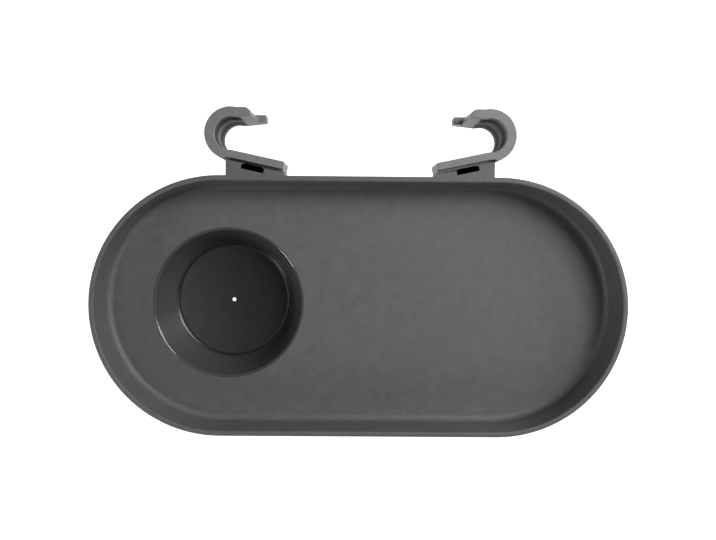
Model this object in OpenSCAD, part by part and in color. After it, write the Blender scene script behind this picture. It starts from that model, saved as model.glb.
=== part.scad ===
// Armchair cup holder tray: a shallow stadium-shaped tray with a sunk cup well,
// hung from two upright chair tubes by a pair of C-shaped clips.
// Each clip is a moulding of its own. A T-rail on its tail plate slides up into a
// T-slot in the tray's bracket, until the clip's foot meets the bracket from below,
// so the loaded tray presses the joint home.
// Millimetres. Origin: midway between the axes of the two tube seats, level with
// the rim. +X to the right, +Y away from the user, +Z up.

/* [Tray] */
// Length of the tray over its rim
tray_length = 332.6; // [300:0.1:380]
// Width of the tray over its rim
tray_width = 161; // [150:1:190]
// Depth of the tray from the rim to the floor
tray_depth = 26; // [18:0.5:34]
// Width of the flat top of the rim
rim_width = 3.4; // [2.8:0.1:5]
// Thickness of the floor and of the well's wall
shell_thickness = 2.4; // [1.8:0.1:3.5]
// Lean of the tray's side walls from upright, in degrees
wall_draft = 2; // [0.5:0.5:6]
// Rounding of the rim's outer edge
rim_outer_round = 1.3; // [0.4:0.1:1.5]
// Rounding of the rim's inner edge
rim_inner_round = 1; // [0.4:0.1:1.2]
// Rounding where the inner wall runs into the floor
floor_fillet = 4; // [2:0.5:8]
// Rounding of the tray's outer bottom edge
base_round = 5; // [2:0.5:7]

/* [Cup well] */
// How far the well's axis stands in from the middle of the tray's rounded end
well_inset = 1.3; // [0:0.1:6]
// Diameter of the well where it opens in the floor
well_mouth_d = 95; // [80:1:100]
// Diameter the well's wall would have at its bottom, before the bottom rounding
well_base_d = 77.5; // [66:0.5:88]
// Depth of the well below the tray's floor
well_depth = 25; // [15:1:40]
// Rounding of the well's mouth
well_mouth_round = 2.5; // [1:0.1:4]
// Rounding at the bottom of the well
well_base_fillet = 3.5; // [2:0.5:10]
// Diameter of the drain hole in the middle of the well
drain_d = 2.6; // [2:0.1:6]

/* [Clips] */
// Diameter of the chair tube that the clips hold
tube_d = 20; // [16:0.5:25]
// Gap round the tube in its seat
tube_gap = 0.1; // [0:0.05:0.2]
// Distance between the axes of the two tube seats
clip_pitch = 158; // [150:1:190]
// Distance from the tray's rim to the line through the seats
clip_standoff = 25.3; // [24:0.1:45]
// Height of a clip
clip_height = 42; // [36:1:50]
// Thickness of the clip's wall
clip_thickness = 6; // [4:0.1:8]
// Lean of the tail plate from the tray's long side, in degrees
tail_angle = 12; // [8:1:14]
// Length of the tail plate from the seat's middle
tail_length = 35.5; // [33:0.1:42]
// Length of the lip from the seat's middle to its tip
lip_length = 18.3; // [14:0.1:26]
// How far the lip is cut back above its tab
lip_cut_back = 6.3; // [2:0.1:9]
// Height of the tab that the lip reaches furthest with, at the clip's lower end
lip_tab_height = 10.5; // [6:0.5:16]
// How far the lip's inner face leans out at its tip
lip_lean = 1.6; // [0.5:0.1:2.5]
// Depth of the two grip grooves inside the clip
grip_groove_depth = 1; // [0.4:0.1:1.5]
// How far the lip and the tail close in on the seat, so that the tube snaps in
snap_lip = 0.3; // [0.2:0.05:0.6]

/* [Rail and slot] */
// Width of the rail's neck
neck_width = 10; // [8:0.5:11.5]
// Thickness of the bracket's lips, in front of the rail's head
neck_depth = 1.2; // [1.2:0.1:2]
// Width of the rail's head
head_width = 12.6; // [12.5:0.1:15.5]
// Thickness of the rail's head
head_depth = 1.6; // [1.4:0.1:2.6]
// Distance along the tail plate from the seat's middle to the rail's middle
rail_offset = 17.5; // [16:0.5:20]
// Distance from the rim down to the rail's top
rail_drop = 7; // [4:0.5:10]
// Sliding gap between the clip and the bracket
slide_gap = 0.3; // [0.2:0.05:0.4]
// Height of the foot that the bracket stands on
foot_height = 3.5; // [3:0.5:6]

/* [Brackets] */
// Distance from the tray's cross centre line to the bracket's outer face
bracket_outer = 82.1; // [81:0.1:90]
// Width of the bracket along the tray
bracket_width = 35.8; // [34:0.1:42]

/* [Hidden] */
$fn = 96;

// Overrun that carries every cut past the face it opens
cut_over = 2;

tray_color = [0.30, 0.295, 0.29];
clip_color = [0.36, 0.36, 0.35];

// The tray
rim_radius = tray_width / 2;
straight_length = tray_length - tray_width;
half_straight = straight_length / 2;
base_depth = tray_depth + shell_thickness;

// Distance from the tray's long centre line to the line through the seats
clip_reach = rim_radius + clip_standoff;

// The cup well, near the middle of the tray's rounded left end
well_axis = half_straight - well_inset;
well_wall_angle = atan((well_mouth_d - well_base_d) / 2 / well_depth);
well_skin = shell_thickness / cos(well_wall_angle);
well_base_depth = well_depth + shell_thickness;

// The seat's wall, and the two grip grooves between its three lands. The grooves'
// edges are shares of the clip's height, from its top down.
seat_radius = tube_d / 2 + tube_gap;
clip_outer_radius = seat_radius + clip_thickness;
groove_top_share = [0.07, 0.56];
groove_bottom_share = [0.36, 0.84];

// The lip and the tail plate: their inner faces cut into the seat's circle by the
// snap, and the C runs on into them as far as its own faces stay buried there
plate_inner = seat_radius - snap_lip;
plate_outer = plate_inner + clip_thickness;
blend_angle = (acos(plate_inner / seat_radius) + acos(plate_outer / clip_outer_radius)) / 2;

// The lip's inner face starts to lean at this share of its length, and its cut
// back edge stands out by this share of the cut at the tab
lean_start_share = 0.25;
cut_slope_share = 0.2;

// The tail plate keeps its full height as far as this share of its length, and
// its lower edge then climbs to this share of the clip's height
tail_full_share = 0.2;
tail_end_share = 0.72;

// The rail and its slot
slot_face = plate_outer + slide_gap;
rail_start = rail_offset - head_width / 2;
foot_reach = slide_gap + neck_depth + head_depth;
foot_top = -base_depth - slide_gap;

// The bracket, measured from the seat's middle
bracket_start = bracket_outer - clip_pitch / 2;
bracket_reach = clip_standoff + rim_width + base_round;

// Radius at height z of a wall that leans inwards as it goes down
function leaning_radius(top_radius, angle, z) = top_radius + z * tan(angle);

// Middle of a rounding of radius r between a leaning wall and the level line at
// height level. up is 1 above that line and -1 below it, and side is 1 where the
// middle lies inside the wall and -1 outside it.
function round_centre(top_radius, angle, r, level, up, side) =
    [leaning_radius(top_radius, angle, level + up * r) - side * r / cos(angle),
     level + up * r];

// Point where such a rounding meets the leaning wall
function round_on_wall(centre, angle, r, side) =
    centre + side * r * [cos(angle), -sin(angle)];

// Half profile of a solid whose wall leans, with its top and bottom edges rounded.
// X is the radius and Y the height, and the top lies at height 0.
module leaning_solid(top_radius, angle, depth, top_round, bottom_round) {
    top_c = round_centre(top_radius, angle, top_round, 0, -1, 1);
    bottom_c = round_centre(top_radius, angle, bottom_round, -depth, 1, 1);
    polygon([
        [0, 0],
        [top_c.x, 0],
        round_on_wall(top_c, angle, top_round, 1),
        round_on_wall(bottom_c, angle, bottom_round, 1),
        [bottom_c.x, -depth],
        [0, -depth]
    ]);
    translate(top_c) circle(r = top_round);
    translate(bottom_c) circle(r = bottom_round);
}

// Half profile of a hollow whose wall leans, with a rounded mouth at height 0 and
// a fillet at its foot
module leaning_hollow(top_radius, angle, depth, mouth_round, foot_fillet) {
    foot_c = round_centre(top_radius, angle, foot_fillet, -depth, 1, 1);
    mouth_c = round_centre(top_radius, angle, mouth_round, 0, -1, -1);
    difference() {
        polygon([
            [0, cut_over],
            [mouth_c.x, cut_over],
            mouth_c,
            round_on_wall(mouth_c, angle, mouth_round, -1),
            round_on_wall(foot_c, angle, foot_fillet, 1),
            [foot_c.x, -depth],
            [0, -depth]
        ]);
        translate(mouth_c) circle(r = mouth_round);
    }
    translate(foot_c) circle(r = foot_fillet);
}

// Sweeps a half profile round the stadium: half a turn at each end and a straight
// run along each side
module stadium_sweep() {
    for (end = [0, 1])
        mirror([end, 0, 0])
            translate([half_straight, 0, 0])
                rotate([0, 0, -90])
                    rotate_extrude(angle = 180) children();
    for (side = [0, 1])
        mirror([0, side, 0])
            translate([-half_straight, 0, 0])
                rotate([90, 0, 90])
                    linear_extrude(straight_length) children();
}

// Puts its children at the left seat, or mirrored at the right one
module at_seat(mirrored) {
    mirror([mirrored ? 1 : 0, 0, 0])
        translate([-clip_pitch / 2, 0, 0]) children();
}

// Turns its children along the tail plate: X runs along the plate, and -Y points
// out of its outer face, towards the tray
module along_tail() {
    rotate([0, 0, -tail_angle]) children();
}

// T outline of the rail or, with a gap, of its slot, from inside the tail plate
// towards the tray
module t_outline(gap) {
    head_face = slot_face + neck_depth;
    translate([rail_offset - neck_width / 2 - gap, -head_face - head_depth / 2])
        square([neck_width + 2 * gap, head_face + head_depth / 2 - plate_outer + clip_thickness / 2]);
    translate([rail_start - gap, -head_face - head_depth - gap])
        square([head_width + 2 * gap, head_depth + 2 * gap]);
}

// Plan of the wedge between the rim and the tail plate
module bracket_plan() {
    intersection() {
        translate([-bracket_start, -bracket_reach])
            square([bracket_width, bracket_reach]);
        along_tail()
            translate([-clip_pitch, -slot_face - clip_pitch])
                square([2 * clip_pitch, clip_pitch]);
    }
}

// Wedge bracket, its top level with the rim and its bottom with the tray's base
module bracket(mirrored) {
    at_seat(mirrored)
        translate([0, 0, -base_depth])
            linear_extrude(base_depth) bracket_plan();
}

// T-slot right through a bracket's height
module bracket_slot(mirrored) {
    at_seat(mirrored)
        along_tail()
            translate([0, 0, -base_depth - cut_over])
                linear_extrude(base_depth + 2 * cut_over) t_outline(slide_gap);
}

// Puts its children on the cup well's axis, level with the tray's floor
module at_well() {
    translate([-well_axis, -clip_reach, -tray_depth]) children();
}

module tray() color(tray_color) {
    difference() {
        union() {
            translate([0, -clip_reach, 0])
                stadium_sweep()
                    leaning_solid(rim_radius, wall_draft, base_depth,
                                  rim_outer_round, base_round);
            at_well()
                rotate_extrude()
                    leaning_solid(well_mouth_d / 2 + well_skin, well_wall_angle,
                                  well_base_depth, shell_thickness / 2,
                                  well_base_fillet + shell_thickness);
            for (mirrored = [false, true]) bracket(mirrored);
        }
        translate([0, -clip_reach, 0])
            stadium_sweep()
                leaning_hollow(rim_radius - rim_width, wall_draft, tray_depth,
                               rim_inner_round, floor_fillet);
        at_well()
            rotate_extrude()
                leaning_hollow(well_mouth_d / 2, well_wall_angle, well_depth,
                               well_mouth_round, well_base_fillet);
        at_well()
            translate([0, 0, -well_base_depth - cut_over])
                cylinder(d = drain_d, h = shell_thickness + 2 * cut_over);
        for (mirrored = [false, true]) bracket_slot(mirrored);
    }
}

// Plan of the clip: the C round the tube, the lip beyond it and the tail plate
module clip_plan() {
    wide = 2 * clip_outer_radius;
    difference() {
        union() {
            intersection() {
                circle(r = clip_outer_radius);
                polygon([
                    [0, 0],
                    wide * [sin(blend_angle), cos(blend_angle)],
                    [-wide, wide],
                    [-wide, -wide],
                    wide * [sin(blend_angle - tail_angle), -cos(blend_angle - tail_angle)]
                ]);
            }
            polygon([
                [0, plate_inner],
                [lean_start_share * lip_length, plate_inner],
                [lip_length, plate_inner + lip_lean],
                [lip_length, plate_outer],
                [0, plate_outer]
            ]);
            rotate(-tail_angle)
                translate([0, -plate_outer]) square([tail_length, clip_thickness]);
        }
        circle(r = seat_radius);
    }
}

// The two grip grooves inside the seat, with sloping ends
module grip_grooves() {
    floor_radius = seat_radius + grip_groove_depth;
    rotate_extrude()
        for (i = [0, 1])
            let (top = -groove_top_share[i] * clip_height,
                 bottom = -groove_bottom_share[i] * clip_height)
                polygon([
                    [0, top],
                    [seat_radius, top],
                    [floor_radius, top - grip_groove_depth],
                    [floor_radius, bottom + 2 * grip_groove_depth],
                    [seat_radius, bottom],
                    [0, bottom]
                ]);
}

// What cuts the lip back above the tab at its lower end
module lip_cut() {
    rotate([90, 0, 0])
        translate([0, 0, -clip_outer_radius - cut_over])
            linear_extrude(clip_thickness + 2 * cut_over)
                polygon([
                    [lip_length - lip_cut_back, 0],
                    [lip_length - (1 - cut_slope_share) * lip_cut_back,
                     lip_tab_height - clip_height],
                    [lip_length + cut_over, lip_tab_height - clip_height],
                    [lip_length + cut_over, cut_over],
                    [lip_length - lip_cut_back, cut_over]
                ]);
}

// What lets the tail plate's lower edge climb towards its end
module tail_edge_cut() {
    rotate([90, 0, 0])
        translate([0, 0, plate_inner - cut_over])
            linear_extrude(clip_thickness + 2 * cut_over)
                polygon([
                    [tail_full_share * tail_length, -clip_height],
                    [tail_length, -tail_end_share * clip_height],
                    [tail_length + cut_over, -tail_end_share * clip_height],
                    [tail_length + cut_over, -clip_height - cut_over],
                    [tail_full_share * tail_length, -clip_height - cut_over]
                ]);
}

// The T-rail and the foot that stops it under the bracket
module rail_and_foot() {
    translate([0, 0, foot_top])
        linear_extrude(-foot_top - rail_drop) t_outline(0);
    rotate([90, 0, 90])
        translate([0, 0, rail_start])
            linear_extrude(head_width)
                polygon([
                    [-plate_outer + clip_thickness / 2, foot_top],
                    [-plate_outer - foot_reach, foot_top],
                    [-plate_outer - foot_reach, foot_top - foot_height / 2],
                    [-plate_outer, foot_top - foot_height / 2 - foot_reach],
                    [-plate_outer + clip_thickness / 2, foot_top - foot_height]
                ]);
}

module clip(mirrored) color(clip_color) {
    at_seat(mirrored) {
        difference() {
            translate([0, 0, -clip_height]) linear_extrude(clip_height) clip_plan();
            grip_grooves();
            lip_cut();
            along_tail() tail_edge_cut();
        }
        along_tail() rail_and_foot();
    }
}

module left_clip() clip(false);

module right_clip() clip(true);

tray();
left_clip();
right_clip();
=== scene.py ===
"""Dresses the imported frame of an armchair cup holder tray.

The tray's shell is one profile swept round a stadium and another swept round the
cup well, with the two floors filled in between them, and the wedge brackets are
merged into it. The clips are lofted from their plan, ring by ring. Lengths in the
classes are millimetres in the part's own frame, and meshes are in metres.
"""

import logging
import math
from collections.abc import Sequence
from dataclasses import dataclass, field
from enum import Enum
from typing import Any

import bmesh
import bpy
from mathutils import Matrix, Vector


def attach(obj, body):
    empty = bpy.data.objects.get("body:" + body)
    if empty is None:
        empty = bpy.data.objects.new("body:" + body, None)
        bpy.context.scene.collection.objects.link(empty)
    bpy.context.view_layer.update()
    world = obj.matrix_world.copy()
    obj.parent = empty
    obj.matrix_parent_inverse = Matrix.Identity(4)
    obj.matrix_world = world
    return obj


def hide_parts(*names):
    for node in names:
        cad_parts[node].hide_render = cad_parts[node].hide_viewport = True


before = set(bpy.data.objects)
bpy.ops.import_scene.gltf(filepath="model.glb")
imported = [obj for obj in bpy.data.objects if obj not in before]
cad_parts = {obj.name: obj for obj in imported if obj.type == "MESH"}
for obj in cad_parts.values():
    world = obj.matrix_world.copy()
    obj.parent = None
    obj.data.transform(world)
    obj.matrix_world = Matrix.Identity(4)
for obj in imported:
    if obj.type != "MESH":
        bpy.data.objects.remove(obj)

MM = 0.001
WELD = 0.00001
SHARP_ANGLE = math.radians(32)
# The least share of a mitre's length that a sharp corner keeps
MITRE_LIMIT = 0.4
# Slack of a test for the same place, in millimetres
SAME = 0.01
LOG = logging.getLogger("tray")

Point = tuple[float, float]
Place = tuple[float, float, float]


# Plain geometry


@dataclass(frozen=True)
class Corner:
    """A corner of an outline.

    Args:
        x: First coordinate, in millimetres.
        y: Second coordinate, in millimetres.
        rounding: Radius of the corner's rounding, or 0 for none.
    """

    x: float
    y: float
    rounding: float = 0.0


def rounded(corners: Sequence[Corner], closed: bool, step: float = 9.0) -> list[Point]:
    """Replaces each corner that has a rounding with an arc.

    Args:
        corners: The outline's corners in order.
        closed: Whether the last corner joins the first.
        step: Greatest turn between two points of an arc, in degrees.

    Returns:
        The points of the outline.
    """
    points: list[Point] = []
    count = len(corners)
    for index, corner in enumerate(corners):
        here = Vector((corner.x, corner.y))
        inner = closed or 0 < index < count - 1
        if corner.rounding <= 0 or not inner:
            points.append((here.x, here.y))
            continue
        before, after = corners[index - 1], corners[(index + 1) % count]
        back = (Vector((before.x, before.y)) - here).normalized()
        ahead = (Vector((after.x, after.y)) - here).normalized()
        half = back.angle(ahead) / 2
        centre = here + (back + ahead).normalized() * corner.rounding / math.sin(half)
        first = here + back * corner.rounding / math.tan(half) - centre
        turn = math.pi - 2 * half
        sign = 1 if back.cross(ahead) < 0 else -1
        steps = max(2, math.ceil(math.degrees(turn) / step))
        for part in range(steps + 1):
            spoke = Matrix.Rotation(sign * turn * part / steps, 2) @ first
            points.append((centre.x + spoke.x, centre.y + spoke.y))
    return points


def arc(radius: float, start: float, end: float, steps: int) -> list[Corner]:
    """Corners along an arc about the origin.

    Args:
        radius: Radius of the arc.
        start: Angle of its first point, in degrees.
        end: Angle of its last point, in degrees.
        steps: How many pieces it has.

    Returns:
        The arc's points, with no rounding of their own.
    """
    angles = (math.radians(start + (end - start) * part / steps) for part in range(steps + 1))
    return [Corner(radius * math.cos(angle), radius * math.sin(angle)) for angle in angles]


def outward(outline: Sequence[Point]) -> list[Vector]:
    """Mitred normals of a closed outline that runs anticlockwise.

    Args:
        outline: The points in order.

    Returns:
        One vector a point, as long as carries the point when both its edges move
        out by one.
    """
    normals = []
    count = len(outline)
    for index, here in enumerate(outline):
        before, after = Vector(outline[index - 1]), Vector(outline[(index + 1) % count])
        edge_in = (Vector(here) - before).normalized()
        edge_out = (after - Vector(here)).normalized()
        side_in = Vector((edge_in.y, -edge_in.x))
        side_out = Vector((edge_out.y, -edge_out.x))
        middle = (side_in + side_out).normalized()
        normals.append(middle / max(MITRE_LIMIT, middle.dot(side_in)))
    return normals


@dataclass(frozen=True)
class Level:
    """One height of a loft, and how far its outline is drawn in there."""

    z: float
    inset: float = 0.0


def edge_levels(z: float, rounding: float, up: bool, steps: int = 4) -> list[Level]:
    """Levels of a rounded top or bottom edge, from the side face to the end face.

    Args:
        z: Height of the end face.
        rounding: Radius of the edge.
        up: True for a top edge and False for a bottom one.
        steps: How many pieces the rounding has.

    Returns:
        The levels in order.
    """
    sign = 1 if up else -1
    levels = []
    for part in range(steps + 1):
        angle = math.pi / 2 * part / steps
        levels.append(Level(z - sign * rounding * (1 - math.sin(angle)), rounding * (1 - math.cos(angle))))
    return levels


def loft(
    name: str, rings: Sequence[Sequence[Place]], folds: Sequence[tuple[int, int]] = (),
) -> bpy.types.Object:
    """Joins rings of points into a closed solid.

    Args:
        name: Name of the new object.
        rings: Rings of equal length, in millimetres.
        folds: Places in the ring between which both end faces fold.

    Returns:
        The object, linked to the scene.
    """
    size = len(rings[0])
    points = [tuple(value * MM for value in place) for ring in rings for place in ring]
    faces: list[tuple[int, ...]] = [tuple(reversed(range(size)))]
    for level in range(len(rings) - 1):
        low, high = level * size, (level + 1) * size
        for index in range(size):
            following = (index + 1) % size
            faces.append((low + index, low + following, high + following, high + index))
    faces.append(tuple(range((len(rings) - 1) * size, len(rings) * size)))
    mesh = bpy.data.meshes.new(name)
    mesh.from_pydata(points, [], faces)
    ends = (0, (len(rings) - 1) * size)
    face_outwards(mesh, [(first + start, second + start) for first, second in folds for start in ends])
    return linked(bpy.data.objects.new(name, mesh))


def face_outwards(mesh: bpy.types.Mesh, folds: Sequence[tuple[int, int]] = ()) -> None:
    """Turns the faces of a closed mesh outwards.

    Args:
        mesh: The mesh.
        folds: Pairs of points that get an edge across the face that they share.
    """
    shape = bmesh.new()
    shape.from_mesh(mesh)
    shape.verts.ensure_lookup_table()
    for first, second in folds:
        bmesh.ops.connect_verts(shape, verts=[shape.verts[first], shape.verts[second]])
    bmesh.ops.recalc_face_normals(shape, faces=shape.faces)
    shape.to_mesh(mesh)
    shape.free()


def linked(piece: bpy.types.Object) -> bpy.types.Object:
    """Links an object to the scene and returns it."""
    bpy.context.scene.collection.objects.link(piece)
    return piece


def closed_profile(name: str, parts: Sequence[tuple[Sequence[Point], float]]) -> bpy.types.Object:
    """Makes a closed curve from the parts of a profile.

    Args:
        name: Name of the new object.
        parts: Points in millimetres, outwards and up, and the share of each part.

    Returns:
        The curve object, linked to the scene. Its third coordinate is the share.
    """
    places = [(x * MM, y * MM, share, 1) for points, share in parts for x, y in points]
    curve = bpy.data.curves.new(name, "CURVE")
    curve.dimensions = "3D"
    spline = curve.splines.new("POLY")
    spline.points.add(len(places) - 1)
    for target, place in zip(spline.points, places):
        target.co = place
    spline.use_cyclic_u = True
    return linked(bpy.data.objects.new(name, curve))


def settle(piece: bpy.types.Object, name: str) -> bpy.types.Object:
    """Turns an object's evaluated shape into a plain mesh object.

    Args:
        piece: The object with its modifiers, which is removed.
        name: Name of the plain object.

    Returns:
        The plain object, linked to the scene.
    """
    evaluated = piece.evaluated_get(bpy.context.evaluated_depsgraph_get())
    mesh = bpy.data.meshes.new_from_object(evaluated)
    bpy.data.objects.remove(piece)
    mesh.name = name
    return linked(bpy.data.objects.new(name, mesh))


def merged(
    body: bpy.types.Object, additions: Sequence[bpy.types.Object], plastic: bpy.types.Material,
) -> bpy.types.Object:
    """Merges solids into a body, and keeps its flat faces flat under smooth shading.

    Args:
        body: The solid that gains the others.
        additions: The solids that it gains, which are removed.
        plastic: The material of the whole.

    Returns:
        The merged object.
    """
    name = body.name
    for addition in additions:
        union = body.modifiers.new(addition.name, "BOOLEAN")
        union.operation = "UNION"
        union.solver = "EXACT"
        union.object = addition
    plain = settle(body, name)
    for addition in additions:
        bpy.data.objects.remove(addition)
    plain.data.materials.clear()
    plain.data.materials.append(plastic)
    plain.data.shade_smooth()
    plain.data.set_sharp_from_angle(angle=SHARP_ANGLE)
    weights = plain.modifiers.new("FlatFaces", "WEIGHTED_NORMAL")
    weights.keep_sharp = True
    return settle(plain, name)


# Node trees


class Signal:
    """The output of a node, which takes part in Python expressions."""

    def __init__(self, graph: "NodeGraph", node: bpy.types.Node, output: int | str = 0) -> None:
        """Wraps one output of a node.

        Args:
            graph: The graph that holds the node.
            node: The node.
            output: Name or place of the output.
        """
        self.graph = graph
        self.node = node
        self.socket = node.outputs[output] if node.outputs else None

    def pick(self, output: int | str) -> "Signal":
        """Another output of the same node."""
        return Signal(self.graph, self.node, output)

    def _maths(self, operation: str, first: Any, second: Any) -> "Signal":
        """Adds a Math node with that operation and those inputs."""
        return self.graph.node("ShaderNodeMath", {"operation": operation}, {0: first, 1: second})

    def __add__(self, other: Any) -> "Signal":
        """This value plus another."""
        return self._maths("ADD", self, other)

    __radd__ = __add__

    def __sub__(self, other: Any) -> "Signal":
        """This value less another."""
        return self._maths("SUBTRACT", self, other)

    def __rsub__(self, other: Any) -> "Signal":
        """Another value less this one."""
        return self._maths("SUBTRACT", other, self)

    def __mul__(self, other: Any) -> "Signal":
        """This value times another."""
        return self._maths("MULTIPLY", self, other)

    __rmul__ = __mul__

    def __or__(self, other: Any) -> "Signal":
        """The larger of this value and another."""
        return self._maths("MAXIMUM", self, other)

    def __lt__(self, other: Any) -> "Signal":
        """1 where this value is below another, and 0 elsewhere."""
        return self._maths("LESS_THAN", self, other)

    def __gt__(self, other: Any) -> "Signal":
        """1 where this value is above another, and 0 elsewhere."""
        return self._maths("GREATER_THAN", self, other)


class NodeGraph:
    """A node tree under construction."""

    def __init__(self, tree: bpy.types.NodeTree) -> None:
        """Starts from an empty tree.

        Args:
            tree: The tree, whose nodes are cleared.
        """
        self.tree = tree
        tree.nodes.clear()

    def node(
        self,
        kind: str,
        settings: dict[str, Any] | None = None,
        sockets: dict[int | str, Any] | None = None,
        output: int | str = 0,
    ) -> Signal:
        """Adds a node.

        Args:
            kind: The node's type.
            settings: Its properties, such as a Math node's operation, set first.
            sockets: A value, a signal or a list of signals for each input.
            output: The output that is returned.

        Returns:
            The output as a signal.
        """
        node = self.tree.nodes.new(kind)
        for name, value in (settings or {}).items():
            setattr(node, name, value)
        for key, value in (sockets or {}).items():
            signals = value if isinstance(value, list) else [value]
            for signal in signals:
                if isinstance(signal, Signal):
                    self.tree.links.new(signal.socket, node.inputs[key])
                else:
                    node.inputs[key].default_value = signal
        return Signal(self, node, output)

    def vector(self, operation: str, first: Any, second: Any = None, output: int | str = 0) -> Signal:
        """A Vector Math node with that operation on one or two vectors."""
        sockets = {0: first} if second is None else {0: first, 1: second}
        return self.node("ShaderNodeVectorMath", {"operation": operation}, sockets, output)

    def mapped(self, value: Signal, start: float, end: float, first: Any, last: Any) -> Signal:
        """What runs from first to last while a value runs from start to end."""
        return self.node("ShaderNodeMapRange", None, {"Value": value, 1: start, 2: end, 3: first, 4: last})

    def mixed(self, share: Signal, first: Any, second: Any) -> Signal:
        """The first colour, with a share of the second mixed in."""
        return self.node("ShaderNodeMix", {"data_type": "RGBA"}, {0: share, 6: first, 7: second}, 2)

    def distance(self, place: Signal, axis: Point) -> Signal:
        """Distance on the plan between a place, in metres, and an upright axis.

        Args:
            place: The place.
            axis: The axis on the plan, in millimetres.

        Returns:
            The distance in metres.
        """
        offset = self.vector("SUBTRACT", place, (axis[0] * MM, axis[1] * MM, 0))
        flat = self.vector("MULTIPLY", offset, (1, 1, 0))
        return self.vector("LENGTH", flat, output="Value")


class SocketKind(Enum):
    """The kinds of a tree's inputs."""

    LENGTH = "NodeSocketFloat"
    COUNT = "NodeSocketInt"
    MATERIAL = "NodeSocketMaterial"


class ShellTree:
    """Geometry Nodes that sweep one closed profile round the tray and its well.

    The profile is the curve that carries the modifier. A point's first coordinate is
    its radius and the second its height. The third says what it goes round: 1 for
    the tray's stadium and 0 for the well's circle.
    """

    INPUTS: dict[str, SocketKind] = {
        "Half straight": SocketKind.LENGTH,
        "Well axis": SocketKind.LENGTH,
        "Arc points": SocketKind.COUNT,
        "Plastic": SocketKind.MATERIAL,
    }
    PATH_RADIUS = 0.05

    def __init__(self) -> None:
        """Builds the tree."""
        self.tree = bpy.data.node_groups.new("TrayShell", "GeometryNodeTree")
        self.graph = NodeGraph(self.tree)
        self.tree.interface.new_socket("Profile", in_out="INPUT", socket_type="NodeSocketGeometry")
        self.tree.interface.new_socket("Shell", in_out="OUTPUT", socket_type="NodeSocketGeometry")
        self.identifiers = {
            name: self.tree.interface.new_socket(name, in_out="INPUT", socket_type=kind.value).identifier
            for name, kind in self.INPUTS.items()
        }
        self.given = self.graph.node("NodeGroupInput")
        self._build()

    def apply(self, profile: bpy.types.Object, values: dict[str, Any]) -> None:
        """Puts the tree on a profile, with its inputs set by their identifiers.

        Args:
            profile: The closed profile.
            values: The inputs by name.
        """
        modifier = profile.modifiers.new("Shell", "NODES")
        modifier.node_group = self.tree
        for name, value in values.items():
            modifier[self.identifiers[name]] = value

    def _kept(self, geometry: Signal, name: str, kind: str, value: Any) -> Signal:
        """Stores a value on the points of a geometry under a name."""
        return self.graph.node(
            "GeometryNodeStoreNamedAttribute", {"data_type": kind, "domain": "POINT"},
            {"Geometry": geometry, "Name": name, "Value": value},
        )

    def _parts(self, name: str) -> tuple[Signal, Signal, Signal]:
        """The three coordinates of a stored vector."""
        stored = self.graph.node(
            "GeometryNodeInputNamedAttribute", {"data_type": "FLOAT_VECTOR"}, {"Name": name},
        )
        split = self.graph.node("ShaderNodeSeparateXYZ", None, {"Vector": stored})
        return split.pick("X"), split.pick("Y"), split.pick("Z")

    def _path(self) -> Signal:
        """The stadium that the profile is swept round.

        Returns:
            A closed curve. Each point keeps its direction from the centre of its own
            half turn as spoke, and that centre's place along the tray as middle.
        """
        half = self.given.pick("Half straight")
        turn = self.graph.node(
            "GeometryNodeCurveArc", {"mode": "RADIUS"},
            {"Resolution": self.given.pick("Arc points"), "Radius": self.PATH_RADIUS,
             "Start Angle": -math.pi / 2, "Sweep Angle": math.pi},
            "Curve",
        )
        place = self.graph.node("GeometryNodeInputPosition")
        spoke = self.graph.node(
            "ShaderNodeVectorMath", {"operation": "SCALE"}, {0: place, "Scale": 1 / self.PATH_RADIUS},
        )
        ends = []
        for angle, middle in ((0.0, half), (math.pi, 0 - half)):
            end = self.graph.node(
                "GeometryNodeTransform", None, {"Geometry": turn, "Rotation": (0, 0, angle)},
            )
            end = self._kept(end, "spoke", "FLOAT_VECTOR", spoke)
            end = self._kept(end, "middle", "FLOAT", middle)
            shift = self.graph.node("ShaderNodeCombineXYZ", None, {"X": middle})
            ends.append(self.graph.node(
                "GeometryNodeTransform", None, {"Geometry": end, "Translation": shift},
            ))
        both = self.graph.node("GeometryNodeJoinGeometry", None, {"Geometry": ends})
        points = self.graph.node("GeometryNodeCurveToPoints", {"mode": "EVALUATED"}, {"Curve": both})
        path = self.graph.node("GeometryNodePointsToCurves", None, {"Points": points})
        return self.graph.node("GeometryNodeSetSplineCyclic", None, {"Geometry": path, "Cyclic": True})

    def _build(self) -> None:
        """Lays out the whole tree."""
        place = self.graph.node("GeometryNodeInputPosition")
        profile = self._kept(self.given.pick("Profile"), "section", "FLOAT_VECTOR", place)
        shell = self.graph.node(
            "GeometryNodeCurveToMesh", None, {"Curve": self._path(), "Profile Curve": profile},
        )
        radius, height, share = self._parts("section")
        along, across, _ = self._parts("spoke")
        middle = self.graph.node(
            "GeometryNodeInputNamedAttribute", {"data_type": "FLOAT"}, {"Name": "middle"},
        )
        well = self.given.pick("Well axis")
        spot = self.graph.node("ShaderNodeCombineXYZ", None, {
            "X": along * radius + middle * share - well * (1 - share),
            "Y": across * radius,
            "Z": height,
        })
        shell = self.graph.node("GeometryNodeSetPosition", None, {"Geometry": shell, "Position": spot})
        for name in ("section", "spoke", "middle"):
            shell = self.graph.node("GeometryNodeRemoveAttribute", None, {"Geometry": shell, "Name": name})
        shell = self.graph.node("GeometryNodeMergeByDistance", None, {"Geometry": shell, "Distance": WELD})
        shell = self.graph.node("GeometryNodeRealizeInstances", None, {"Geometry": shell})
        shell = self.graph.node(
            "GeometryNodeSetMaterial", None, {"Geometry": shell, "Material": self.given.pick("Plastic")},
        )
        self.graph.node("NodeGroupOutput", None, {"Shell": shell})


# Finishes


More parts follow.
